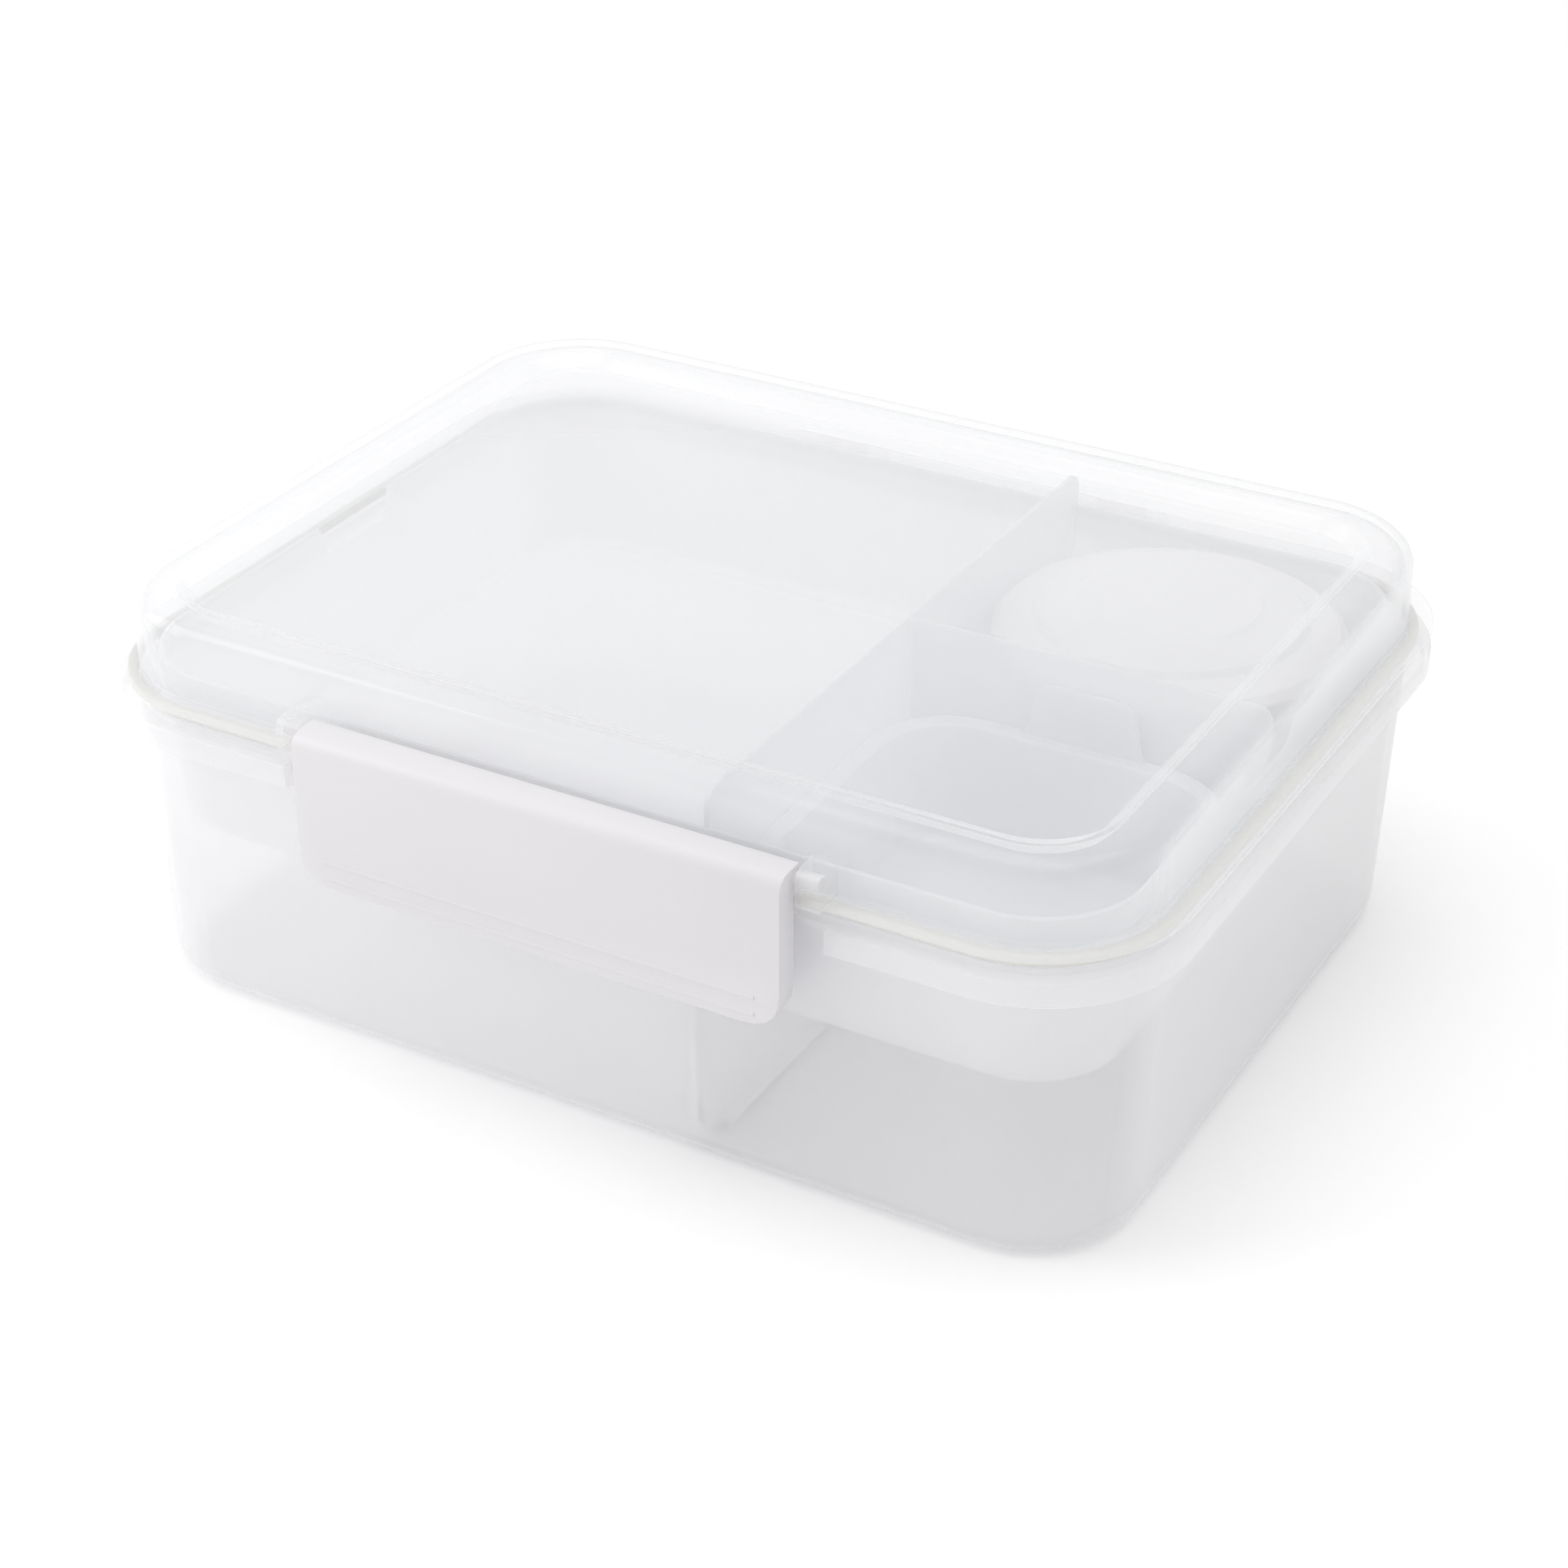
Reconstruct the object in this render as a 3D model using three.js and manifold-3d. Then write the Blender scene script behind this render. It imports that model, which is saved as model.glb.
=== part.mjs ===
// Compartment lunch box: a clear lid with a silicone seal, hinged at the back and shut by one swing
// clip, over a frosted base that holds a lift-out divider, an inner tray, a snack cup and a round
// pot with its own lid.
// Millimetres. +Z is up, +X runs along the long side, the clip is on -Y, and the origin is
// on the table under the middle of the base.

import * as THREE from 'three';
import { mergeVertices } from 'three/addons/utils/BufferGeometryUtils.js';
import Module from 'manifold-3d';

const wasm = await Module();
wasm.setup();

// ---------------------------------------------------------------- driving dimensions

const GAP = 0.3;                     // clearance between pieces that touch in use
const OVERLAP = 0.4;                 // how far two joined bodies run into each other
const CORNER_STEPS = 4;              // half the straight steps in a quarter-circle corner
const ROUND_STEPS = 3;               // steps in a small rounding

// Plan outline of the base wall at its top. Every ring of the box is this outline moved out or in.
const WALL = { halfX: 112.7, halfY: 84.8, radius: 26 };
const PARTING = 70;                  // height of the plane between base and lid
const PLASTIC = 1.5;                 // wall thickness of base and lid

const BASE = {
  draft: 2.1,                        // how much the wall leans in, from top to bottom
  bottomRound: 6.6,
  ledge: PARTING - 5,                // shelf inside the wall that carries the tray
  rimTop: PARTING - 3,               // edge that the seal presses on
  uprightOut: 1.6,                   // outer face of the upright above the shelf
};

const RIM = {
  out: 4.8,                          // how far the rims of base and lid stand out of the wall
  skirtTop: PARTING - 4.5,
  skirtBottom: PARTING - 9.5,
  skirtThick: 1.3,
  lidBottom: PARTING - 0.3,
  lidTop: PARTING + 0.6,
};

const LID = {
  wallOut: -0.4,                     // outer face of the lid wall
  skirtBottom: PARTING - 2.8,
  crest: PARTING + 16.6,             // top of the raised border
  borderRound: 8,
  borderInner: -9.6,                 // where the border starts to fall to the panel
  panelEdge: -12.8,
  panel: PARTING + 13.2,
};

const TRAY = {
  bottom: 35,
  floor: 1.2,
  wall: 1.1,
  top: PARTING + 3,
  topOut: -4.6,
  bottomOut: -7.4,
  bottomRound: 4,
  flangeOut: -0.4,
  flangeThick: 1.2,
  dividerTop: PARTING + 10.7,
  dividerThick: 1.2,
  dividerX: 29.5,
  dividerRound: 5,
};

const NOTCH = { width: 24, flare: 2, bottom: PARTING - 3, reach: 12 };

const DIVIDER = { x: 26.5, thick: 1.8, top: TRAY.bottom - GAP, footWidth: 7, footThick: 1.2 };
const GUIDE = { width: 1.3, depth: 2.2, top: TRAY.bottom - 1 };

const CUP = {
  outline: { halfX: 37.1, halfY: 38, radius: 18 },
  centreX: 68.1,
  centreY: -39.2,
  bottom: TRAY.bottom + TRAY.floor + GAP,
  top: PARTING - 7.2,
  wall: 1.1,
  rim: 2.8,
  rimThick: 1.2,
  draft: 2.4,
  bottomRound: 4,
  tabX: 69.7,
  tabTop: PARTING + 4.5,
  tabThick: 1.2,
  tabHalfBase: 13.5,
  tabHalfTop: 12,
  tabRound: 6,
};

const POT = {
  x: 69.4,
  y: 39.7,
  bottom: TRAY.bottom + TRAY.floor + GAP,
  top: PARTING - 1.5,
  wall: 1.2,
  bottomRadius: 29.5,
  topRadius: 34.2,
  beadRadius: 34.9,
};

const POT_LID = {
  radius: 36.6,
  wall: 1.2,
  skirtBottom: PARTING - 5.5,
  shoulder: PARTING,
  ringRadius: 27.5,
  ringHeight: PARTING + 4.8,
  discRadius: 18.3,
  top: PARTING + 7,
};

const CLIP = {
  halfLength: 53.3,
  face: WALL.halfY + 9.9,            // distance of the front face from the middle of the box
  back: WALL.halfY + 2.5,
  top: PARTING + 6.8,
  bottom: PARTING - 25.5,
  thick: 1.8,
  endThick: 1.6,
  endBack: WALL.halfY + 4.6,
  shoulderRound: 4,
  cornerRound: 8,
  ridgeHalf: 48,
  ridgeProud: 0.5,
  ridgeHeights: [PARTING - 19.6, PARTING - 23.2],
};

const PIVOT = { y: WALL.halfY + 3.8, z: PARTING + 4.2, pin: 1.5, cheek: 2.6 };
const BOSS = { inner: CLIP.halfLength + 1, outer: 59.5, blind: 58.7 };

// The catch is a bar under the base rim. The clip's hook faces it with a running gap and has no
// undercut, so the lid can lift with the clip shut.
const CATCH = { halfLength: 50, out: 2.6, bottom: PARTING - 10 };
const HOOK = { halfLength: 46, top: PARTING - 7.2, bottom: PARTING - 12.5, taper: 1 };
const CLIP_BAY = 59.5;               // half length of the gap in both rims where the clip sits

// Two lugs on the base rim, each between a pair of arms on the lid that carry the pins.
const HINGE = {
  y: WALL.halfY + 7.7,
  z: PARTING - 4,
  armRoot: WALL.halfY + 3.2,         // where the arms leave the lid's flange
  knuckle: 2.6,
  pin: 1.5,
  pinReach: 3,
  lugInner: 30,
  lugOuter: 40,
  armWidth: 5,
};

const SEAL = { outer: 1.9, inner: -0.1, bottom: BASE.rimTop + GAP, top: RIM.lidBottom - GAP };

// ---------------------------------------------------------------- shape helpers

function roundedRectangle(outline, out = 0) {
  const x = outline.halfX - outline.radius;
  const y = outline.halfY - outline.radius;
  const radius = outline.radius + out;
  const quarter = Math.PI / 2;
  const shape = new THREE.Shape();
  shape.absarc(x, y, radius, 0, quarter);
  shape.absarc(-x, y, radius, quarter, 2 * quarter);
  shape.absarc(-x, -y, radius, 2 * quarter, 3 * quarter);
  shape.absarc(x, -y, radius, 3 * quarter, 4 * quarter);
  shape.closePath();
  return shape;
}

// A ring is how far it lies outside the outline, and its height.
const ring = (out, z) => ({ out, z });

// Rings along a circular rounding, from one angle to another in degrees (0 points outwards).
function rounding(out, z, radius, from, to) {
  const rings = [];
  for (let i = 0; i <= ROUND_STEPS; i++) {
    const angle = THREE.MathUtils.degToRad(from + (to - from) * i / ROUND_STEPS);
    rings.push(ring(out + radius * Math.cos(angle), z + radius * Math.sin(angle)));
  }
  return rings;
}

// One closed body through a list of rings. The first ring closes downwards and the last one
// upwards, so a list that climbs the outside and comes back down the inside makes a tub.
function loft(outline, rings) {
  const steps = rings.length - 1;
  const geometry = new THREE.ExtrudeGeometry(roundedRectangle(outline), {
    depth: steps,
    steps,
    bevelEnabled: false,
    curveSegments: CORNER_STEPS,
  });
  const position = geometry.attributes.position;
  for (let i = 0; i < position.count; i++) {
    const { out, z } = rings[Math.round(position.getZ(i))];
    const scale = 1 + out / outline.radius;
    const cornerX = Math.sign(position.getX(i)) * (outline.halfX - outline.radius);
    const cornerY = Math.sign(position.getY(i)) * (outline.halfY - outline.radius);
    const x = cornerX + (position.getX(i) - cornerX) * scale;
    const y = cornerY + (position.getY(i) - cornerY) * scale;
    position.setXYZ(i, x, y, z);
  }
  return geometry;
}

function polygon(points) {
  return new THREE.Shape(points.map(([a, b]) => new THREE.Vector2(a, b)));
}

// An outline drawn in Y and Z, run along X between two stations.
function alongX(shape, from, to) {
  const options = { depth: to - from, bevelEnabled: false, curveSegments: CORNER_STEPS };
  const geometry = new THREE.ExtrudeGeometry(shape, options);
  geometry.applyMatrix4(new THREE.Matrix4().set(0, 0, 1, from, 1, 0, 0, 0, 0, 1, 0, 0, 0, 0, 0, 1));
  return geometry;
}

// An outline drawn in X and Z, run along Y between two stations.
function alongY(shape, from, to) {
  const options = { depth: to - from, bevelEnabled: false, curveSegments: CORNER_STEPS };
  const geometry = new THREE.ExtrudeGeometry(shape, options);
  geometry.applyMatrix4(new THREE.Matrix4().set(1, 0, 0, 0, 0, 0, -1, to, 0, 1, 0, 0, 0, 0, 0, 1));
  return geometry;
}

function block(x0, x1, y0, y1, z0, z1) {
  const geometry = new THREE.BoxGeometry(x1 - x0, y1 - y0, z1 - z0);
  return geometry.translate((x0 + x1) / 2, (y0 + y1) / 2, (z0 + z1) / 2);
}

function rodAlongX(from, to, y, z, radius) {
  const geometry = new THREE.CylinderGeometry(radius, radius, to - from, 16);
  return geometry.rotateZ(Math.PI / 2).translate((from + to) / 2, y, z);
}

// Two stations along X on one side of the middle, in rising order.
function span(side, near, far) {
  return [side * near, side * far].sort((a, b) => a - b);
}

function solid(geometry) {
  geometry.deleteAttribute('normal');
  geometry.deleteAttribute('uv');
  const merged = mergeVertices(geometry, 1e-5);
  const vertProperties = new Float32Array(merged.attributes.position.array);
  const triVerts = new Uint32Array(merged.index.array);
  return new wasm.Manifold(new wasm.Mesh({ numProp: 3, vertProperties, triVerts }));
}

function toGeometry(body) {
  const mesh = body.getMesh();
  const geometry = new THREE.BufferGeometry();
  geometry.setAttribute('position', new THREE.BufferAttribute(mesh.vertProperties, 3));
  geometry.setIndex(new THREE.BufferAttribute(mesh.triVerts, 1));
  return geometry;
}

const join = (body, ...geometries) => geometries.reduce((sum, part) => sum.add(solid(part)), body);
const cut = (body, ...geometries) => geometries.reduce((rest, part) => rest.subtract(solid(part)), body);

function material(color, roughness, opacity = 1) {
  return new THREE.MeshStandardMaterial({
    color,
    roughness,
    metalness: 0,
    transparent: opacity < 1,
    opacity,
  });
}

const FROSTED = material(0xe9e8eb, 0.45, 0.55);
const CLEAR = material(0xf1f2f5, 0.2, 0.4);
const TRAY_WHITE = material(0xf2f2f4, 0.4, 0.6);
const CLIP_WHITE = material(0xe9e7ea, 0.4);
const SILICONE = material(0xece8dd, 0.6);

const box = new THREE.Group();

function addPiece(name, body, look) {
  const mesh = new THREE.Mesh(toGeometry(body), look);
  mesh.name = name;
  box.add(mesh);
}

// ---------------------------------------------------------------- base container

// Outer face of the base wall at a height, as a ring.
function baseWallOut(z) {
  const rise = (z - BASE.bottomRound) / (RIM.skirtTop - BASE.bottomRound);
  return -BASE.draft * (1 - Math.min(rise, 1));
}

function baseShell() {
  const skirtInner = RIM.out - RIM.skirtThick;
  const plateBottom = RIM.skirtTop - RIM.skirtThick;
  const insideRound = BASE.bottomRound - PLASTIC;
  return loft(WALL, [
    ...rounding(-BASE.draft - BASE.bottomRound, BASE.bottomRound, BASE.bottomRound, -90, 0),
    ring(0, plateBottom),
    ring(skirtInner, plateBottom),
    ring(skirtInner, RIM.skirtBottom),
    ring(RIM.out, RIM.skirtBottom),
    ring(RIM.out, RIM.skirtTop),
    ring(BASE.uprightOut, RIM.skirtTop),
    ring(BASE.uprightOut, BASE.rimTop),
    ring(BASE.uprightOut - PLASTIC, BASE.rimTop),
    ring(BASE.uprightOut - PLASTIC, BASE.ledge),
    ring(-PLASTIC, BASE.ledge),
    ...rounding(-BASE.draft - BASE.bottomRound, BASE.bottomRound, insideRound, 0, -90),
  ]);
}

// A pair of upright ribs on the inside of one long wall, with the divider's edge between them.
function guideRibs(side) {
  const slot = DIVIDER.thick / 2 + GAP;
  const root = WALL.halfY + baseWallOut(GUIDE.top) - PLASTIC + OVERLAP;
  const foot = WALL.halfY + baseWallOut(0) - PLASTIC - GUIDE.depth;
  const rib = polygon([
    [side * foot, PLASTIC - OVERLAP],
    [side * root, PLASTIC + BASE.bottomRound],
    [side * root, GUIDE.top],
    [side * foot, GUIDE.top],
  ]);
  const left = DIVIDER.x - slot;
  const right = DIVIDER.x + slot;
  return [alongX(rib, left - GUIDE.width, left), alongX(rib, right, right + GUIDE.width)];
}

// The bar that the clip's hook faces.
function catchBar() {
  const x = [-CATCH.halfLength, CATCH.halfLength];
  const y = [-WALL.halfY - CATCH.out, -WALL.halfY + OVERLAP];
  return block(...x, ...y, CATCH.bottom, RIM.skirtTop - OVERLAP);
}

// Walls that close the ends of the rim band on both sides of the clip.
function bayCheeks() {
  const y = [-WALL.halfY - RIM.out, -WALL.halfY + OVERLAP];
  const z = [RIM.skirtBottom, RIM.skirtTop];
  const end = CLIP_BAY + RIM.skirtThick;
  return [block(CLIP_BAY, end, ...y, ...z), block(-end, -CLIP_BAY, ...y, ...z)];
}

// The gap in a rim where the clip sits.
function clipBay(out, bottom, top) {
  const y = [-WALL.halfY - 2 * RIM.out, -WALL.halfY - out];
  return block(-CLIP_BAY, CLIP_BAY, ...y, bottom, top);
}

// One hinge lug, drawn in Y and Z: it stands on the outside of the rim band, round the pin.
function lugOutline() {
  const root = WALL.halfY + RIM.out - OVERLAP;
  const shape = new THREE.Shape();
  shape.moveTo(root, RIM.skirtBottom + OVERLAP);
  shape.lineTo(HINGE.y + HINGE.knuckle, HINGE.z - HINGE.knuckle);
  shape.absarc(HINGE.y, HINGE.z, HINGE.knuckle, 0, Math.PI);
  shape.lineTo(HINGE.y - HINGE.knuckle, RIM.skirtTop - OVERLAP);
  shape.lineTo(root, RIM.skirtTop - OVERLAP);
  return shape;
}

function baseContainer() {
  let body = cut(solid(baseShell()), clipBay(CATCH.out, RIM.skirtBottom - 1, RIM.skirtTop + 1));
  body = join(body, catchBar(), ...bayCheeks(), ...guideRibs(-1), ...guideRibs(1));
  for (const side of [-1, 1]) {
    const [low, high] = span(side, HINGE.lugInner, HINGE.lugOuter);
    body = join(body, alongX(lugOutline(), low, high));
    body = cut(body, rodAlongX(low - 1, high + 1, HINGE.y, HINGE.z, HINGE.pin + GAP));
  }
  return body;
}

// ---------------------------------------------------------------- base divider

function baseDivider() {
  const floor = PLASTIC + GAP;
  const clearance = PLASTIC + 2 * GAP;
  const round = BASE.bottomRound;
  const low = WALL.halfY + baseWallOut(round) - clearance;
  const high = WALL.halfY + baseWallOut(DIVIDER.top) - clearance;
  const plate = new THREE.Shape();
  plate.moveTo(-low + round, floor);
  plate.lineTo(low - round, floor);
  plate.quadraticCurveTo(low, floor, low, floor + round);
  plate.lineTo(high, DIVIDER.top);
  plate.lineTo(-high, DIVIDER.top);
  plate.lineTo(-low, floor + round);
  plate.quadraticCurveTo(-low, floor, -low + round, floor);
  const half = DIVIDER.thick / 2;
  const footHalf = DIVIDER.footWidth / 2;
  const footEnd = low - round - GUIDE.depth;
  const foot = block(-footHalf, footHalf, -footEnd, footEnd, floor, floor + DIVIDER.footThick);
  const body = solid(alongX(plate, -half, half));
  return join(body, foot).translate([DIVIDER.x, 0, 0]);
}

// ---------------------------------------------------------------- inner tray

function trayWallOut(z) {
  const rise = (z - TRAY.bottom) / (TRAY.top - TRAY.bottom);
  return TRAY.bottomOut + (TRAY.topOut - TRAY.bottomOut) * rise;
}

function trayShell() {
  const flangeBottom = BASE.ledge + GAP;
  const flangeTop = flangeBottom + TRAY.flangeThick;
  const roundZ = TRAY.bottom + TRAY.bottomRound;
  const roundOut = trayWallOut(roundZ) - TRAY.bottomRound;
  return loft(WALL, [
    ...rounding(roundOut, roundZ, TRAY.bottomRound, -90, 0),
    ring(trayWallOut(flangeBottom), flangeBottom),
    ring(TRAY.flangeOut, flangeBottom),
    ring(TRAY.flangeOut, flangeTop),
    ring(trayWallOut(flangeTop), flangeTop),
    ring(TRAY.topOut, TRAY.top),
    ring(TRAY.topOut - TRAY.wall, TRAY.top),
    ...rounding(roundOut, roundZ, TRAY.bottomRound - TRAY.wall, 0, -90),
  ]);
}

// Outline of a dividing wall from its foot to its top, in the wall's own length and height. The
// ends stop inside the tray wall, and round off above it to follow the inside of the lid.
function wallOutline(from, to, roundFrom, roundTo) {
  const foot = TRAY.bottom + TRAY.floor / 2;
  const footLoss = TRAY.topOut - TRAY.bottomOut + TRAY.bottomRound;
  const shape = new THREE.Shape();
  shape.moveTo(from + (roundFrom ? footLoss : 0), foot);
  shape.lineTo(to - (roundTo ? footLoss : 0), foot);
  shape.lineTo(to - (roundTo ? TRAY.topOut - TRAY.bottomOut : 0), foot + TRAY.bottomRound);
  const ends = roundTo ? TRAY.dividerRound : 0;
  shape.lineTo(to, TRAY.top);
  shape.lineTo(to, TRAY.dividerTop - ends);
  if (roundTo) shape.quadraticCurveTo(to, TRAY.dividerTop, to - ends, TRAY.dividerTop);
  const starts = roundFrom ? TRAY.dividerRound : 0;
  shape.lineTo(from + starts, TRAY.dividerTop);
  if (roundFrom) shape.quadraticCurveTo(from, TRAY.dividerTop, from, TRAY.dividerTop - starts);
  shape.lineTo(from, TRAY.top);
  if (roundFrom) shape.lineTo(from + TRAY.topOut - TRAY.bottomOut, foot + TRAY.bottomRound);
  return shape;
}

// A finger notch in the top of the tray wall at both short ends.
function fingerNotch() {
  const half = NOTCH.width / 2;
  const top = TRAY.top + 1;
  const shape = polygon([
    [-half + NOTCH.flare, NOTCH.bottom],
    [half - NOTCH.flare, NOTCH.bottom],
    [half, NOTCH.bottom + NOTCH.flare],
    [half + NOTCH.flare, top],
    [-half - NOTCH.flare, top],
    [-half, NOTCH.bottom + NOTCH.flare],
  ]);
  const end = WALL.halfX;
  return [alongX(shape, end - NOTCH.reach, end), alongX(shape, -end, -end + NOTCH.reach)];
}

function innerTray() {
  const half = TRAY.dividerThick / 2;
  const insideY = WALL.halfY + TRAY.topOut - TRAY.wall / 2;
  const insideX = WALL.halfX + TRAY.topOut - TRAY.wall / 2;
  const longWall = alongX(wallOutline(-insideY, insideY, true, true), -half, half);
  longWall.translate(TRAY.dividerX, 0, 0);
  const crossWall = alongY(wallOutline(TRAY.dividerX, insideX, false, true), -half, half);
  const notched = cut(solid(trayShell()), ...fingerNotch());
  return join(notched, longWall, crossWall);
}

// ---------------------------------------------------------------- snack cup

// The finger tab stands on the cup's rim against the cross wall, with rounded top corners.
function fingerTab() {
  const foot = CUP.top - CUP.rimThick / 2;
  const { tabHalfBase: base, tabHalfTop: top, tabRound: round, tabTop: height } = CUP;
  const shape = new THREE.Shape();
  shape.moveTo(-base, foot);
  shape.lineTo(base, foot);
  shape.quadraticCurveTo(top, CUP.top, top, CUP.top + 2);
  shape.lineTo(top - 1, height - round);
  shape.quadraticCurveTo(top - 2, height, top - round, height);
  shape.lineTo(-top + round, height);
  shape.quadraticCurveTo(-top + 2, height, -top + 1, height - round);
  shape.lineTo(-top, CUP.top + 2);
  shape.quadraticCurveTo(-top, CUP.top, -base, foot);
  const back = CUP.centreY + CUP.outline.halfY;
  return alongY(shape, back - CUP.tabThick, back).translate(CUP.tabX, 0, 0);
}

function snackCup() {
  const roundZ = CUP.bottom + CUP.bottomRound;
  const rimBottom = CUP.top - CUP.rimThick;
  const lowOut = -CUP.rim - CUP.draft - CUP.bottomRound;
  const tub = loft(CUP.outline, [
    ...rounding(lowOut, roundZ, CUP.bottomRound, -90, 0),
    ring(-CUP.rim, rimBottom),
    ring(0, rimBottom),
    ring(0, CUP.top),
    ring(-CUP.rim - CUP.wall, CUP.top),
    ...rounding(lowOut, roundZ, CUP.bottomRound - CUP.wall, 0, -90),
  ]);
  return join(solid(tub).translate([CUP.centreX, CUP.centreY, 0]), fingerTab());
}

// ---------------------------------------------------------------- pot and its lid

function lathe(points) {
  const profile = points.map(([radius, z]) => new THREE.Vector2(radius, z));
  return new THREE.LatheGeometry(profile, 40).rotateX(Math.PI / 2);
}

function pot() {
  const { bottom, top, wall, bottomRadius, topRadius, beadRadius } = POT;
  const bead = top - 3;
  const body = solid(lathe([
    [0, bottom],
    [bottomRadius - 2, bottom],
    [bottomRadius, bottom + 2],
    [topRadius, bead - 1],
    [beadRadius, bead],
    [topRadius, bead + 1],
    [topRadius, top],
    [topRadius - wall, top],
    [bottomRadius - wall, bottom + 2 + wall],
    [bottomRadius - 2 - wall, bottom + wall],
    [0, bottom + wall],
  ]));
  return body.translate([POT.x, POT.y, 0]);
}

function potLid() {
  const { radius, wall, skirtBottom, shoulder, ringRadius, ringHeight, discRadius, top } = POT_LID;
  const body = solid(lathe([
    [0, top - wall],
    [discRadius - 1, top - wall],
    [discRadius, top - wall - 0.6],
    [ringRadius - 1, ringHeight - wall],
    [ringRadius, ringHeight - wall - 1.2],
    [radius - 2, shoulder + 1.6 - wall],
    [radius - wall, shoulder - wall],
    [radius - wall, skirtBottom],
    [radius, skirtBottom],
    [radius, shoulder],
    [radius - 1, shoulder + 1.6],
    [ringRadius + 1, ringHeight - 1.2],
    [ringRadius, ringHeight],
    [discRadius + 1, top - 0.6],
    [discRadius, top],
    [0, top],
  ]));
  return body.translate([POT.x, POT.y, 0]);
}

// ---------------------------------------------------------------- lid and seal

function lidShell() {
  const outerRound = LID.borderRound;
  const innerRound = outerRound - PLASTIC;
  const roundOut = LID.wallOut - outerRound;
  const roundZ = LID.crest - outerRound;
  const crestInner = LID.borderInner;
  const slopeZ = (LID.crest + LID.panel) / 2;
  const slopeOut = (LID.borderInner + LID.panelEdge) / 2;
  return loft(WALL, [
    ring(LID.panelEdge, LID.panel - PLASTIC),
    ring(slopeOut, slopeZ - PLASTIC),
    ring(crestInner, LID.crest - PLASTIC),
    ...rounding(roundOut, roundZ, innerRound, 90, 0),
    ring(LID.wallOut - PLASTIC, LID.skirtBottom),
    ring(LID.wallOut, LID.skirtBottom),
    ring(LID.wallOut, RIM.lidBottom),
    ring(RIM.out, RIM.lidBottom),
    ring(RIM.out, RIM.lidTop),
    ring(LID.wallOut, RIM.lidTop),
    ...rounding(roundOut, roundZ, outerRound, 0, 90),
    ring(crestInner, LID.crest),
    ring(slopeOut, slopeZ),
    ring(LID.panelEdge, LID.panel),
  ]);
}

// One clip boss, drawn in Y and Z: a block on the front of the lid wall that rounds over the pin.
function bossOutline() {
  const root = -WALL.halfY + PLASTIC;
  const front = -PIVOT.y - PIVOT.cheek;
  const top = PIVOT.z + PIVOT.cheek;
  const shape = new THREE.Shape();
  shape.moveTo(root, RIM.lidBottom);
  shape.lineTo(front, RIM.lidBottom);
  shape.lineTo(front, PIVOT.z);
  shape.quadraticCurveTo(front, top, -PIVOT.y, top);
  shape.lineTo(root, top + 1);
  return shape;
}

// One hinge arm, drawn in Y and Z: it bends down from the edge of the flange and round the pin.
function armOutline() {
  const shape = new THREE.Shape();
  shape.moveTo(HINGE.armRoot, RIM.lidBottom);
  shape.absarc(HINGE.y, HINGE.z, HINGE.knuckle, -Math.PI, Math.PI / 3);
  shape.lineTo(WALL.halfY + RIM.out, RIM.lidTop);
  shape.lineTo(HINGE.armRoot, RIM.lidTop);
  return shape;
}

function hingeArms(side) {
  const inner = HINGE.lugInner - GAP;
  const outer = HINGE.lugOuter + GAP;
  return [
    alongX(armOutline(), ...span(side, inner - HINGE.armWidth, inner)),
    alongX(armOutline(), ...span(side, outer, outer + HINGE.armWidth)),
    rodAlongX(...span(side, inner - 1, HINGE.lugInner + HINGE.pinReach), HINGE.y, HINGE.z, HINGE.pin),
    rodAlongX(...span(side, HINGE.lugOuter - HINGE.pinReach, outer + 1), HINGE.y, HINGE.z, HINGE.pin),
  ];
}

function lid() {
  let body = cut(solid(lidShell()), clipBay(CATCH.out - OVERLAP, RIM.lidBottom - 1, RIM.lidTop + 1));
  for (const side of [-1, 1]) {
    const bore = span(side, BOSS.inner - 1, BOSS.blind);
    body = join(body, alongX(bossOutline(), ...span(side, BOSS.inner, BOSS.outer)));
    body = cut(body, rodAlongX(...bore, -PIVOT.y, PIVOT.z, PIVOT.pin + GAP));
    body = join(body, ...hingeArms(side));
  }
  return body;
}

function lidSeal() {
  const shape = roundedRectangle(WALL, SEAL.outer);
  shape.holes.push(roundedRectangle(WALL, SEAL.inner));
  const options = { depth: SEAL.top - SEAL.bottom, bevelEnabled: false, curveSegments: CORNER_STEPS };
  return solid(new THREE.ExtrudeGeometry(shape, options).translate(0, 0, SEAL.bottom));
}

// ---------------------------------------------------------------- clip

// The clip's section, drawn in Y and Z: its top, shoulder and face, inset from the outside by a
// given amount.
function clipCurve(shape, inset) {
  const face = -CLIP.face + inset;
  const top = CLIP.top - inset;
  const round = CLIP.shoulderRound - inset;
  shape.lineTo(face + round, top);
  shape.quadraticCurveTo(face, top, face, top - round);
  shape.lineTo(face, CLIP.bottom);
}

function clipPanel() {
  const outer = new THREE.Shape();
  outer.moveTo(-CLIP.back, CLIP.top);
  clipCurve(outer, 0);
  outer.lineTo(-CLIP.face + CLIP.thick, CLIP.bottom);
  const round = CLIP.shoulderRound - CLIP.thick;
  const innerTop = CLIP.top - CLIP.thick;
  outer.lineTo(-CLIP.face + CLIP.thick, innerTop - round);
  outer.quadraticCurveTo(-CLIP.face + CLIP.thick, innerTop, -CLIP.face + CLIP.thick + round, innerTop);
  outer.lineTo(-CLIP.back, innerTop);
  return alongX(outer, -CLIP.halfLength, CLIP.halfLength);
}

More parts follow.
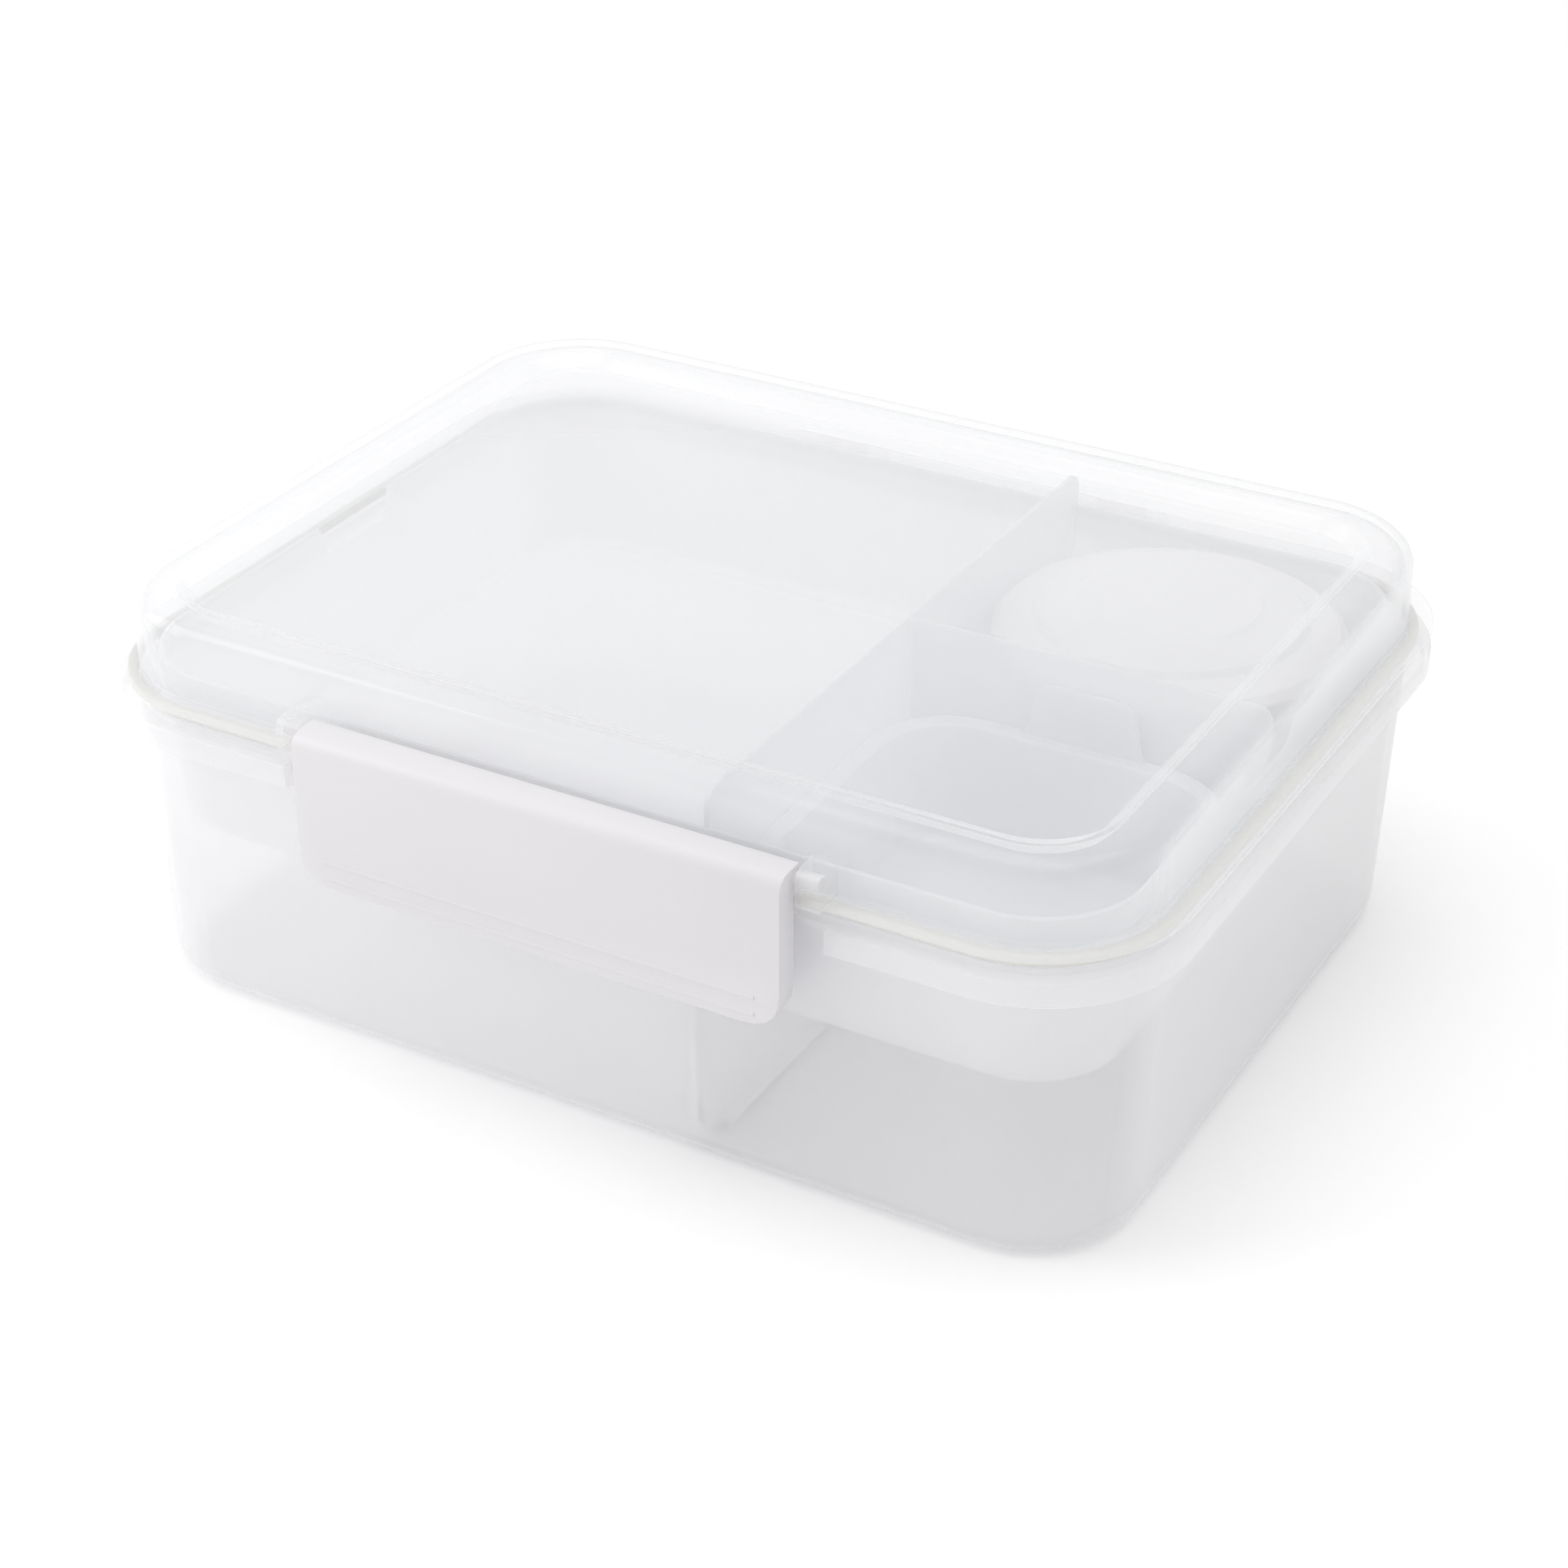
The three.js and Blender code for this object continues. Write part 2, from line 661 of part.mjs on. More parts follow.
// The end wall closes the clip's side and carries the pin.
function clipEnd(end) {
  const shape = new THREE.Shape();
  shape.moveTo(-CLIP.back, CLIP.top);
  clipCurve(shape, 0);
  shape.lineTo(-CLIP.endBack - 2, CLIP.bottom);
  shape.lineTo(-CLIP.endBack, CLIP.bottom + 4);
  shape.lineTo(-CLIP.endBack, PIVOT.z - 4);
  shape.lineTo(-CLIP.back, PIVOT.z - 2);
  const inner = CLIP.halfLength - CLIP.endThick;
  const stations = span(end, inner, CLIP.halfLength);
  const pin = span(end, inner, BOSS.blind - GAP);
  return [alongX(shape, ...stations), rodAlongX(...pin, -PIVOT.y, PIVOT.z, PIVOT.pin)];
}

// The hook stands off the back of the clip's face and stops a gap away from the catch.
function clipHook() {
  const root = -CLIP.face + CLIP.thick / 2;
  const tip = -(WALL.halfY + CATCH.out) - GAP;
  const section = polygon([
    [root, HOOK.top],
    [root, HOOK.bottom - HOOK.taper],
    [tip, HOOK.bottom + HOOK.taper],
    [tip, HOOK.top - HOOK.taper],
  ]);
  return alongX(section, -HOOK.halfLength, HOOK.halfLength);
}

function clipRidge(z) {
  const half = 1.2 * CLIP.ridgeProud;
  const section = polygon([
    [-CLIP.face + OVERLAP, z - half],
    [-CLIP.face + OVERLAP, z + half],
    [-CLIP.face, z + half],
    [-CLIP.face - CLIP.ridgeProud, z],
    [-CLIP.face, z - half],
  ]);
  return alongX(section, -CLIP.ridgeHalf, CLIP.ridgeHalf);
}

// The clip seen from the front, with rounded lower corners, as a cutter for everything but the pins.
function clipFront() {
  const { halfLength: half, bottom, top, cornerRound: round } = CLIP;
  const shape = new THREE.Shape();
  shape.moveTo(half, top + 1);
  shape.lineTo(-half, top + 1);
  shape.lineTo(-half, bottom + round);
  shape.quadraticCurveTo(-half, bottom, -half + round, bottom);
  shape.lineTo(half - round, bottom);
  shape.quadraticCurveTo(half, bottom, half, bottom + round);
  return alongY(shape, -CLIP.face - 1, -WALL.halfY);
}

function frontClip() {
  const [leftEnd, leftPin] = clipEnd(-1);
  const [rightEnd, rightPin] = clipEnd(1);
  const ridges = CLIP.ridgeHeights.map(clipRidge);
  const shell = join(solid(clipPanel()), leftEnd, rightEnd, clipHook(), ...ridges);
  return join(shell.intersect(solid(clipFront())), leftPin, rightPin);
}

// ---------------------------------------------------------------- assembly

addPiece('base_container', baseContainer(), FROSTED);
addPiece('base_divider', baseDivider(), TRAY_WHITE);
addPiece('inner_tray', innerTray(), TRAY_WHITE);
addPiece('snack_cup', snackCup(), TRAY_WHITE);
addPiece('pot', pot(), FROSTED);
addPiece('pot_lid', potLid(), TRAY_WHITE);
addPiece('lid', lid(), CLEAR);
addPiece('lid_seal', lidSeal(), SILICONE);
addPiece('front_clip', frontClip(), CLIP_WHITE);

export default box;
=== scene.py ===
"""Looks of a compartment lunch box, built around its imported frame. Sizes are in millimetres until they
reach Blender, which works in metres. Each moulded shell is a closed profile run round a rounded
rectangle; a profile is a list of (outward, height, corner rounding)."""

import math

import bmesh
import bpy
from mathutils import Matrix, Vector


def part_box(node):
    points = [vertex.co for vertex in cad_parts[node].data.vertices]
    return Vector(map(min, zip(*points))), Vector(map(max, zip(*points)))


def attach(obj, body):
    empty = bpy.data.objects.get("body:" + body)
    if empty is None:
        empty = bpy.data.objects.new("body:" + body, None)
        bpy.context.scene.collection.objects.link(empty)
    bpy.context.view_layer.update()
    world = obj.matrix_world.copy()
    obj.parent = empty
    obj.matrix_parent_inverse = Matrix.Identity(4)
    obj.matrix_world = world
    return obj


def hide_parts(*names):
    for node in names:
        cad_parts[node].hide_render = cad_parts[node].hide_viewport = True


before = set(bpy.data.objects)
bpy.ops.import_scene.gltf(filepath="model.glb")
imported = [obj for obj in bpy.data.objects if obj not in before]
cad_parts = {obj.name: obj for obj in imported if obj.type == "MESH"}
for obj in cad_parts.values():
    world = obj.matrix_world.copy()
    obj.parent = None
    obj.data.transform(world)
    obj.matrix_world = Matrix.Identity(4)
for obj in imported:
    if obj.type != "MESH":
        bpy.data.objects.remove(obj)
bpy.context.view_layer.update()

MM = 0.001
CORNER_STEPS = 20        # steps in a quarter of a rounded rectangle
ROUND_STEPS = 5          # steps in a small rounding of a profile
TURN_STEPS = 96          # steps round the pot
SHARP_ANGLE = math.radians(38)


def node_box(node):
    low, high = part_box(node)
    return low / MM, high / MM


# ------------------------------------------------------------------ sizes, from the frame

RIM_OUT = 4.8            # how far the rims stand out of the base wall
WALL_RADIUS = 26
PLASTIC = 1.5
GAP = 0.3

BASE_LOW = node_box("base_container")[0]                 # its rim; the hinge lugs are at the back
WALL_X = -BASE_LOW.x - RIM_OUT
WALL_Y = -BASE_LOW.y - RIM_OUT
PARTING = node_box("lid_seal")[1].z + 0.6                # plane between base and lid
WALL = (WALL_X, WALL_Y, WALL_RADIUS)

TRAY_LOW, TRAY_HIGH = node_box("inner_tray")
TRAY_FLOOR = TRAY_LOW.z
CUP_LOW, CUP_HIGH = node_box("snack_cup")
CUP_MIDDLE = (CUP_LOW + CUP_HIGH) / 2
CUP = ((CUP_HIGH.x - CUP_LOW.x) / 2, (CUP_HIGH.y - CUP_LOW.y) / 2, 18)
POT_LOW, POT_HIGH = node_box("pot")
POT_MIDDLE = (POT_LOW + POT_HIGH) / 2
POT_LID_HIGH = node_box("pot_lid")[1]
DIVIDER_LOW, DIVIDER_HIGH = node_box("base_divider")
CLIP_LOW, CLIP_HIGH = node_box("front_clip")

DRAFT = 2.1
TRAY_TOP = PARTING + 3
MAIN_WALL_X = 29.5
WALL_TOP = TRAY_HIGH.z
TRAY_WALL_HALF = 0.6
PIVOT = Vector((0, -(WALL_Y + 3.8), PARTING + 4.2))      # the clip's pins
HINGE = Vector((0, WALL_Y + 7.7, PARTING - 4))           # the lid's pins
KNUCKLE = 2.6
LUG_INNER, LUG_OUTER, ARM_WIDTH = 30, 40, 5
BAY_HALF = 59.5
BAND_LOW, BAND_TOP = PARTING - 9.5, PARTING - 4.5        # the band round the base's rim
CLIP_HALF = 53.3
CLIP_FACE, CLIP_BACK = -(WALL_Y + 9.9), -(WALL_Y + 2.5)
CATCH_FACE = -(WALL_Y + 2.6)
CATCH_LOW = PARTING - 10


# ------------------------------------------------------------------ mesh helpers

def rounded_profile(corners, closed=False):
    """Replaces each corner of a profile by an arc of its own rounding."""
    points = []
    count = len(corners)
    for i, (a, b, r) in enumerate(corners):
        here = Vector((a, b))
        if r == 0 or (not closed and i in (0, count - 1)):
            points.append(here)
            continue
        before = Vector(corners[i - 1][:2]) - here
        after = Vector(corners[(i + 1) % count][:2]) - here
        half = before.angle(after) / 2
        reach = min(r / math.tan(half), before.length * 0.49, after.length * 0.49)
        start = here + before.normalized() * reach
        end = here + after.normalized() * reach
        for k in range(ROUND_STEPS + 1):
            t = k / ROUND_STEPS
            points.append(start * (1 - t) ** 2 + here * 2 * t * (1 - t) + end * t ** 2)
    return points


def rectangle_ring(outline, out):
    """Points round a rounded rectangle, moved outwards by the given amount."""
    half_x, half_y, radius = outline
    points = []
    for quarter in range(4):
        side_x = 1 if quarter in (0, 3) else -1
        side_y = 1 if quarter in (0, 1) else -1
        for k in range(CORNER_STEPS + 1):
            angle = (quarter + k / CORNER_STEPS) * math.pi / 2
            x = side_x * (half_x - radius) + (radius + out) * math.cos(angle)
            y = side_y * (half_y - radius) + (radius + out) * math.sin(angle)
            points.append((x, y))
    return points


def mesh_object(name, vertices, faces):
    mesh = bpy.data.meshes.new(name)
    mesh.from_pydata([Vector(v) * MM for v in vertices], [], faces)
    mesh.validate()
    work = bmesh.new()
    work.from_mesh(mesh)
    bmesh.ops.remove_doubles(work, verts=work.verts, dist=1e-6)
    bmesh.ops.recalc_face_normals(work, faces=work.faces)
    work.to_mesh(mesh)
    work.free()
    piece = bpy.data.objects.new(name, mesh)
    bpy.context.scene.collection.objects.link(piece)
    return piece


def stack_rings(name, rings, closed=False):
    """Skins a list of equal rings. An open stack gets a flat cap at both ends."""
    size = len(rings[0])
    vertices = [point for ring in rings for point in ring]
    faces = []
    for level in range(len(rings) - (0 if closed else 1)):
        low = level * size
        high = (level + 1) % len(rings) * size
        for k in range(size):
            n = (k + 1) % size
            faces.append((low + k, low + n, high + n, high + k))
    if not closed:
        faces.append(tuple(reversed(range(size))))
        faces.append(tuple(range((len(rings) - 1) * size, len(rings) * size)))
    return mesh_object(name, vertices, faces)


def loft(name, outline, profile, centre=(0, 0), closed=False):
    rings = []
    for out, height in rounded_profile(profile, closed):
        ring = rectangle_ring(outline, out)
        rings.append([(x + centre[0], y + centre[1], height) for x, y in ring])
    return stack_rings(name, rings, closed)


def turn(name, profile, centre):
    rings = []
    for radius, height in rounded_profile(profile):
        ring = []
        for k in range(TURN_STEPS):
            angle = 2 * math.pi * k / TURN_STEPS
            x = centre[0] + radius * math.cos(angle)
            y = centre[1] + radius * math.sin(angle)
            ring.append((x, y, height))
        rings.append(ring)
    return stack_rings(name, rings)


def slab(name, outline, low, high, axis):
    """A rounded flat outline given thickness along X ('x', drawn in Y and Z) or Y ('y', in X and Z)."""
    flat = rounded_profile(outline, closed=True)
    place = {"x": lambda d, a, b: (d, a, b), "y": lambda d, a, b: (a, d, b)}[axis]
    rings = [[place(depth, a, b) for a, b in flat] for depth in (low, high)]
    return stack_rings(name, rings)


def apply_modifiers(piece):
    graph = bpy.context.evaluated_depsgraph_get()
    mesh = bpy.data.meshes.new_from_object(piece.evaluated_get(graph))
    piece.modifiers.clear()
    piece.data = mesh


def combine(piece, others, operation):
    for other in others:
        modifier = piece.modifiers.new(operation, "BOOLEAN")
        modifier.operation = operation
        modifier.solver = "EXACT"
        modifier.object = other
        apply_modifiers(piece)
        bpy.data.objects.remove(other)
    return piece


def soften(piece, width, segments=3):
    """Rounds the sharp edges of a piece."""
    modifier = piece.modifiers.new("soften", "BEVEL")
    modifier.width = width * MM
    modifier.segments = segments
    modifier.limit_method = "ANGLE"
    modifier.angle_limit = math.radians(40)
    apply_modifiers(piece)
    return piece


def finish_piece(piece, body, node, material):
    mesh = piece.data
    mesh.polygons.foreach_set("use_smooth", [True] * len(mesh.polygons))
    mesh.set_sharp_from_angle(angle=SHARP_ANGLE)
    mesh.materials.clear()
    mesh.materials.append(material)
    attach(piece, body)
    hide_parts(node)
    return piece


# ------------------------------------------------------------------ materials

IOR = 1.49
FACING_CLEAR, FACING_DENSE = 0.3, 0.9    # Layer Weight's facing where a wall is clearest and densest
WALL_TINT = (0.992, 0.992, 0.994, 1)     # what one clear surface lets through
SKIN_FACE_ON, SKIN_EDGE_ON = 0.02, 0.4   # share of light that the skin reflects
SKIN_RISE = 5                            # how late that share rises towards the edge

def plastic(name, colour, roughness, density, grain_size, grain_depth, clouding=0.02):
    """Moulded plastic: slight clouding, uneven gloss and a fine grain. Density is how much one
    surface hides what is behind it, seen face on and edge on, and the share of the scattered light
    that goes on to the far side; None is opaque."""
    material = bpy.data.materials.new(name)
    material.use_nodes = True
    nodes = material.node_tree.nodes
    links = material.node_tree.links
    shader = nodes["Principled BSDF"]
    shader.inputs["IOR"].default_value = IOR
    place = nodes.new("ShaderNodeTexCoord")

    cloud = nodes.new("ShaderNodeTexNoise")
    cloud.inputs["Scale"].default_value = 18
    cloud.inputs["Detail"].default_value = 3
    links.new(place.outputs["Object"], cloud.inputs["Vector"])
    tint = nodes.new("ShaderNodeValToRGB")
    tint.color_ramp.elements[0].position = 0.3
    tint.color_ramp.elements[1].position = 0.7
    tint.color_ramp.elements[0].color = (*[c * (1 - clouding) for c in colour], 1)
    tint.color_ramp.elements[1].color = (*colour, 1)
    links.new(cloud.outputs["Fac"], tint.inputs["Fac"])
    links.new(tint.outputs["Color"], shader.inputs["Base Color"])

    gloss = nodes.new("ShaderNodeMapRange")
    gloss.inputs["To Min"].default_value = roughness * 0.85
    gloss.inputs["To Max"].default_value = roughness * 1.15
    links.new(cloud.outputs["Fac"], gloss.inputs["Value"])
    links.new(gloss.outputs["Result"], shader.inputs["Roughness"])

    grain = nodes.new("ShaderNodeTexNoise")
    grain.inputs["Scale"].default_value = grain_size
    grain.inputs["Detail"].default_value = 4
    links.new(place.outputs["Object"], grain.inputs["Vector"])
    bump = nodes.new("ShaderNodeBump")
    bump.inputs["Strength"].default_value = grain_depth
    bump.inputs["Distance"].default_value = 0.0001
    links.new(grain.outputs["Fac"], bump.inputs["Height"])
    links.new(bump.outputs["Normal"], shader.inputs["Normal"])
    if density:
        thin_wall(material, shader, colour, roughness, *density)
    return material


def thin_wall(material, shader, colour, roughness, face_on, edge_on, through):
    """Hazy plastic scatters light through to its far side as well as back, and it hides more where it
    is looked at along its surface. Its skin reflects as any plastic does, however clear it is."""
    nodes, links = material.node_tree.nodes, material.node_tree.links
    scattered = nodes.new("ShaderNodeBsdfTranslucent")
    scattered.inputs["Color"].default_value = (*colour, 1)
    haze = nodes.new("ShaderNodeMixShader")
    haze.inputs["Fac"].default_value = through
    links.new(shader.outputs["BSDF"], haze.inputs[1])
    links.new(scattered.outputs["BSDF"], haze.inputs[2])

    facing = nodes.new("ShaderNodeLayerWeight")
    facing.inputs["Blend"].default_value = 0.3
    hiding = nodes.new("ShaderNodeMapRange")
    hiding.inputs["From Min"].default_value = FACING_CLEAR
    hiding.inputs["From Max"].default_value = FACING_DENSE
    hiding.inputs["To Min"].default_value = face_on
    hiding.inputs["To Max"].default_value = edge_on
    links.new(facing.outputs["Facing"], hiding.inputs["Value"])
    see_through = nodes.new("ShaderNodeBsdfTransparent")
    see_through.inputs["Color"].default_value = WALL_TINT
    surface = nodes.new("ShaderNodeMixShader")
    links.new(hiding.outputs["Result"], surface.inputs["Fac"])
    links.new(see_through.outputs["BSDF"], surface.inputs[1])
    links.new(haze.outputs["Shader"], surface.inputs[2])

    grazing = nodes.new("ShaderNodeLayerWeight")
    grazing.inputs["Blend"].default_value = 0.5
    steep = nodes.new("ShaderNodeMath")
    steep.operation = "POWER"
    steep.inputs[1].default_value = SKIN_RISE
    links.new(grazing.outputs["Facing"], steep.inputs[0])
    reflected = nodes.new("ShaderNodeMapRange")
    reflected.inputs["To Min"].default_value = SKIN_FACE_ON
    reflected.inputs["To Max"].default_value = SKIN_EDGE_ON
    links.new(steep.outputs["Value"], reflected.inputs["Value"])
    shine = nodes.new("ShaderNodeBsdfAnisotropic")
    shine.inputs["Color"].default_value = (1, 1, 1, 1)
    shine.inputs["Roughness"].default_value = roughness
    skin = nodes.new("ShaderNodeMixShader")
    links.new(reflected.outputs["Result"], skin.inputs["Fac"])
    links.new(surface.outputs["Shader"], skin.inputs[1])
    links.new(shine.outputs["BSDF"], skin.inputs[2])
    links.new(skin.outputs["Shader"], nodes["Material Output"].inputs["Surface"])


FROSTED = plastic("frosted", (0.955, 0.945, 0.952), 0.38, (0.3, 0.82, 0.36), 900, 0.08)
INSERT = plastic("insert", (0.976, 0.982, 0.99), 0.3, (0.48, 0.85, 0.32), 900, 0.04)
WHITE = plastic("white", (0.96, 0.96, 0.965), 0.34, (0.75, 0.95, 0.1), 900, 0.04)
CLEAR = plastic("clear", (0.98, 0.982, 0.988), 0.12, (0.16, 0.8, 0.42), 120, 0.02, clouding=0.01)
CLIP = plastic("clip", (0.735, 0.72, 0.735), 0.42, None, 1400, 0.2)
SILICONE = plastic("silicone", (0.74, 0.735, 0.7), 0.55, None, 1100, 0.1, clouding=0.03)


# ------------------------------------------------------------------ base

def bay_block(out, bottom, top):
    """The gap in a rim where the clip sits."""
    y = (-WALL_Y - 3 * RIM_OUT, -WALL_Y - out)
    outline = [(-BAY_HALF, bottom, 0), (BAY_HALF, bottom, 0), (BAY_HALF, top, 0), (-BAY_HALF, top, 0)]
    return slab("bay", outline, *y, "y")


def base():
    band_in = RIM_OUT - 1.3
    plate_low = BAND_TOP - 1.3
    piece = loft("base_shell", WALL, [
        (-14, 0, 0), (-DRAFT, 0, 6.6),
        (0, plate_low, 0.3), (band_in, plate_low, 0.3), (band_in, BAND_LOW, 0.4),
        (RIM_OUT, BAND_LOW, 0.5), (RIM_OUT, BAND_TOP, 0.6), (1.6, BAND_TOP, 0.3),
        (1.6, PARTING - 3, 0.4), (0.1, PARTING - 3, 0.4), (0.1, PARTING - 5, 0.3),
        (-PLASTIC, PARTING - 5, 0.4), (-DRAFT - PLASTIC, PLASTIC, 5.1), (-14, PLASTIC, 0),
    ])
    combine(piece, [bay_block(2.6, BAND_LOW - 1, BAND_TOP + 1)], "DIFFERENCE")
    combine(piece, [catch_bar(), *bay_cheeks(), *guide_ribs(-1), *guide_ribs(1)], "UNION")
    for side in (-1, 1):
        low, high = sorted([side * LUG_INNER, side * LUG_OUTER])
        combine(piece, [hinge_lug(low, high)], "UNION")
        combine(piece, [rod("bore", low - 1, high + 1, HINGE.y, HINGE.z, 1.8)], "DIFFERENCE")
    return finish_piece(piece, "base", "base_container", FROSTED)


def knuckle_arc(start, end):
    """Points round the hinge pin, in Y and Z, between two angles in degrees."""
    steps = 16
    points = []
    for k in range(steps + 1):
        angle = math.radians(start + (end - start) * k / steps)
        points.append((HINGE.y + KNUCKLE * math.cos(angle), HINGE.z + KNUCKLE * math.sin(angle), 0))
    return points


def hinge_lug(low, high):
    root = WALL_Y + RIM_OUT - 0.4
    outline = [(root, BAND_LOW + 0.4, 0), (HINGE.y + KNUCKLE, HINGE.z - KNUCKLE, 2), *knuckle_arc(0, 180),
               (HINGE.y - KNUCKLE, BAND_TOP - 0.4, 0), (root, BAND_TOP - 0.4, 0)]
    return soften(slab("lug", outline, low, high, "x"), 0.3, 2)


def catch_bar():
    root, high = -(WALL_Y - 0.4), PARTING - 4.9
    outline = [(root, CATCH_LOW, 0), (CATCH_FACE, CATCH_LOW, 0.5), (CATCH_FACE, high, 0), (root, high, 0)]
    return slab("catch", outline, -50, 50, "x")


def bay_cheeks():
    root, face = -(WALL_Y - 0.4), -(WALL_Y + RIM_OUT)
    outline = [(root, BAND_LOW, 0), (face, BAND_LOW, 0.5), (face, BAND_TOP, 0.6), (root, BAND_TOP, 0)]
    ends = [(BAY_HALF, BAY_HALF + 1.3), (-BAY_HALF - 1.3, -BAY_HALF)]
    return [slab("cheek", outline, a, b, "x") for a, b in ends]


def guide_ribs(side):
    middle = (DIVIDER_LOW.x + DIVIDER_HIGH.x) / 2
    slot, width, top = 1.2, 1.3, TRAY_FLOOR - 1
    foot = side * (WALL_Y - DRAFT - PLASTIC - 2.2)
    root_low = side * (WALL_Y - DRAFT - 1.1)
    outline = [(foot, 1.2, 0), (root_low, 8, 0), (root_low, top, 0), (foot, top, 0.8)]
    places = [(middle - slot - width, middle - slot), (middle + slot, middle + slot + width)]
    return [slab("guide", outline, a, b, "x") for a, b in places]


def divider():
    middle = (DIVIDER_LOW.x + DIVIDER_HIGH.x) / 2
    low, high, top = DIVIDER_HIGH.y - 1.2, DIVIDER_HIGH.y - 0.1, DIVIDER_HIGH.z
    floor = DIVIDER_LOW.z
    outline = [(-low, floor, 6), (low, floor, 6), (high, top, 0.8), (-high, top, 0.8)]
    piece = slab("divider_plate", outline, middle - 0.9, middle + 0.9, "x")
    foot_half = (DIVIDER_HIGH.x - DIVIDER_LOW.x) / 2
    foot = [(middle - foot_half, floor, 0), (middle + foot_half, floor, 0),
            (middle + foot_half, floor + 1.2, 0), (middle - foot_half, floor + 1.2, 0)]
    combine(piece, [slab("foot", foot, 8 - low, low - 8, "y")], "UNION")
    soften(piece, 0.3)
    return finish_piece(piece, "divider", "base_divider", WHITE)


# ------------------------------------------------------------------ tray, cup and pot

def tray():
    flange_low, flange_high = PARTING - 4.7, PARTING - 3.5
    piece = loft("tray_shell", WALL, [
        (-15, TRAY_FLOOR, 0), (-7.4, TRAY_FLOOR, 4),
        (-5.2, flange_low, 0.3), (-0.4, flange_low, 0.4), (-0.4, flange_high, 0.5),
        (-5.1, flange_high, 0.5), (-4.6, TRAY_TOP, 0.5), (-5.7, TRAY_TOP, 0.5),
        (-8.5, TRAY_FLOOR + 1.2, 3), (-15, TRAY_FLOOR + 1.2, 0),
    ])
    combine(piece, [finger_notch(-1), finger_notch(1)], "DIFFERENCE")
    combine(piece, [main_wall(), cross_wall()], "UNION")
    return finish_piece(piece, "tray", "inner_tray", INSERT)


def finger_notch(end):
    half, low, top = 12, PARTING - 3, TRAY_TOP + 2
    outline = [(-half, low, 3), (half, low, 3), (half + 1, top, 0), (-half - 1, top, 0)]
    return slab("notch", outline, *sorted([end * (WALL_X - 12), end * WALL_X]), "x")


def main_wall():
    inside = WALL_Y - 5.15
    foot = TRAY_FLOOR + 0.6
    outline = [(-inside + 6.8, foot, 2), (inside - 6.8, foot, 2), (inside - 2.8, foot + 4, 0),
               (inside, TRAY_TOP, 0), (inside, WALL_TOP, 5), (-inside, WALL_TOP, 5),
               (-inside, TRAY_TOP, 0), (-inside + 2.8, foot + 4, 0)]
    a, b = MAIN_WALL_X - TRAY_WALL_HALF, MAIN_WALL_X + TRAY_WALL_HALF
    return soften(slab("main_wall", outline, a, b, "x"), 0.25, 2)


def cross_wall():
    inside = WALL_X - 5.15
    foot = TRAY_FLOOR + 0.6
    outline = [(MAIN_WALL_X, foot, 0), (inside - 6.8, foot, 2), (inside - 2.8, foot + 4, 0),
               (inside, TRAY_TOP, 0), (inside, WALL_TOP, 5), (MAIN_WALL_X, WALL_TOP, 0)]
    return soften(slab("cross_wall", outline, -TRAY_WALL_HALF, TRAY_WALL_HALF, "y"), 0.25, 2)


def cup():
    floor, rim = CUP_LOW.z, PARTING - 7.2
    centre = (CUP_MIDDLE.x, CUP_MIDDLE.y)
    piece = loft("cup_shell", CUP, [
        (-14, floor, 0), (-5.2, floor, 4), (-2.8, rim - 1.2, 0.3), (0, rim - 1.2, 0.4),
        (0, rim, 0.6), (-3.9, rim, 1.0), (-6.3, floor + 1.1, 3), (-14, floor + 1.1, 0),
    ], centre)
    combine(piece, [finger_tab(rim)], "UNION")
    return finish_piece(piece, "cup", "snack_cup", INSERT)


def finger_tab(rim):
    middle, half, top = 69.7, 12, CUP_HIGH.z
    outline = [(middle - 13.5, rim - 0.6, 0), (middle + 13.5, rim - 0.6, 0), (middle + half, rim + 1.5, 3),
               (middle + half - 1.5, top, 5), (middle - half + 1.5, top, 5), (middle - half, rim + 1.5, 3)]
    back = CUP_HIGH.y
    return soften(slab("tab", outline, back - 1.2, back, "y"), 0.3, 2)


def pot():
    floor, top = POT_LOW.z, POT_HIGH.z
    bead_radius = (POT_HIGH.x - POT_LOW.x) / 2
    wide = bead_radius - 0.7
    piece = turn("pot_shell", [
        (4, floor, 0), (29.5, floor, 2.5), (wide, top - 4, 0.2), (bead_radius, top - 3, 0.4),
        (wide, top - 2, 0.2), (wide, top, 0.4), (wide - 1.2, top, 0.4),
        (28.3, floor + 1.2, 2), (4, floor + 1.2, 0),
    ], POT_MIDDLE)
    return finish_piece(piece, "pot", "pot", WHITE)


def pot_lid():
    top = POT_LID_HIGH.z
    radius = POT_LID_HIGH.x - POT_MIDDLE.x
    skirt, shoulder = PARTING - 5.5, PARTING
    piece = turn("pot_lid_shell", [
        (4, top - 1.2, 0), (17.6, top - 1.2, 0.5), (18.6, top - 1.9, 0.5), (26.4, top - 3.3, 0.6),
        (27.4, top - 4.8, 0.8), (radius - 3, shoulder + 0.6, 1), (radius - 1.2, shoulder - 1, 1),
        (radius - 1.2, skirt, 0.4), (radius, skirt, 0.4), (radius, shoulder, 1.4),
        (radius - 1.8, shoulder + 1.8, 1.4), (28.6, top - 3.5, 0.8), (27.4, top - 2.2, 0.8),
        (19.4, top - 0.7, 0.5), (18.4, top, 0.5), (4, top, 0),
    ], POT_MIDDLE)
    return finish_piece(piece, "pot_lid", "pot_lid", WHITE)


# ------------------------------------------------------------------ lid and seal

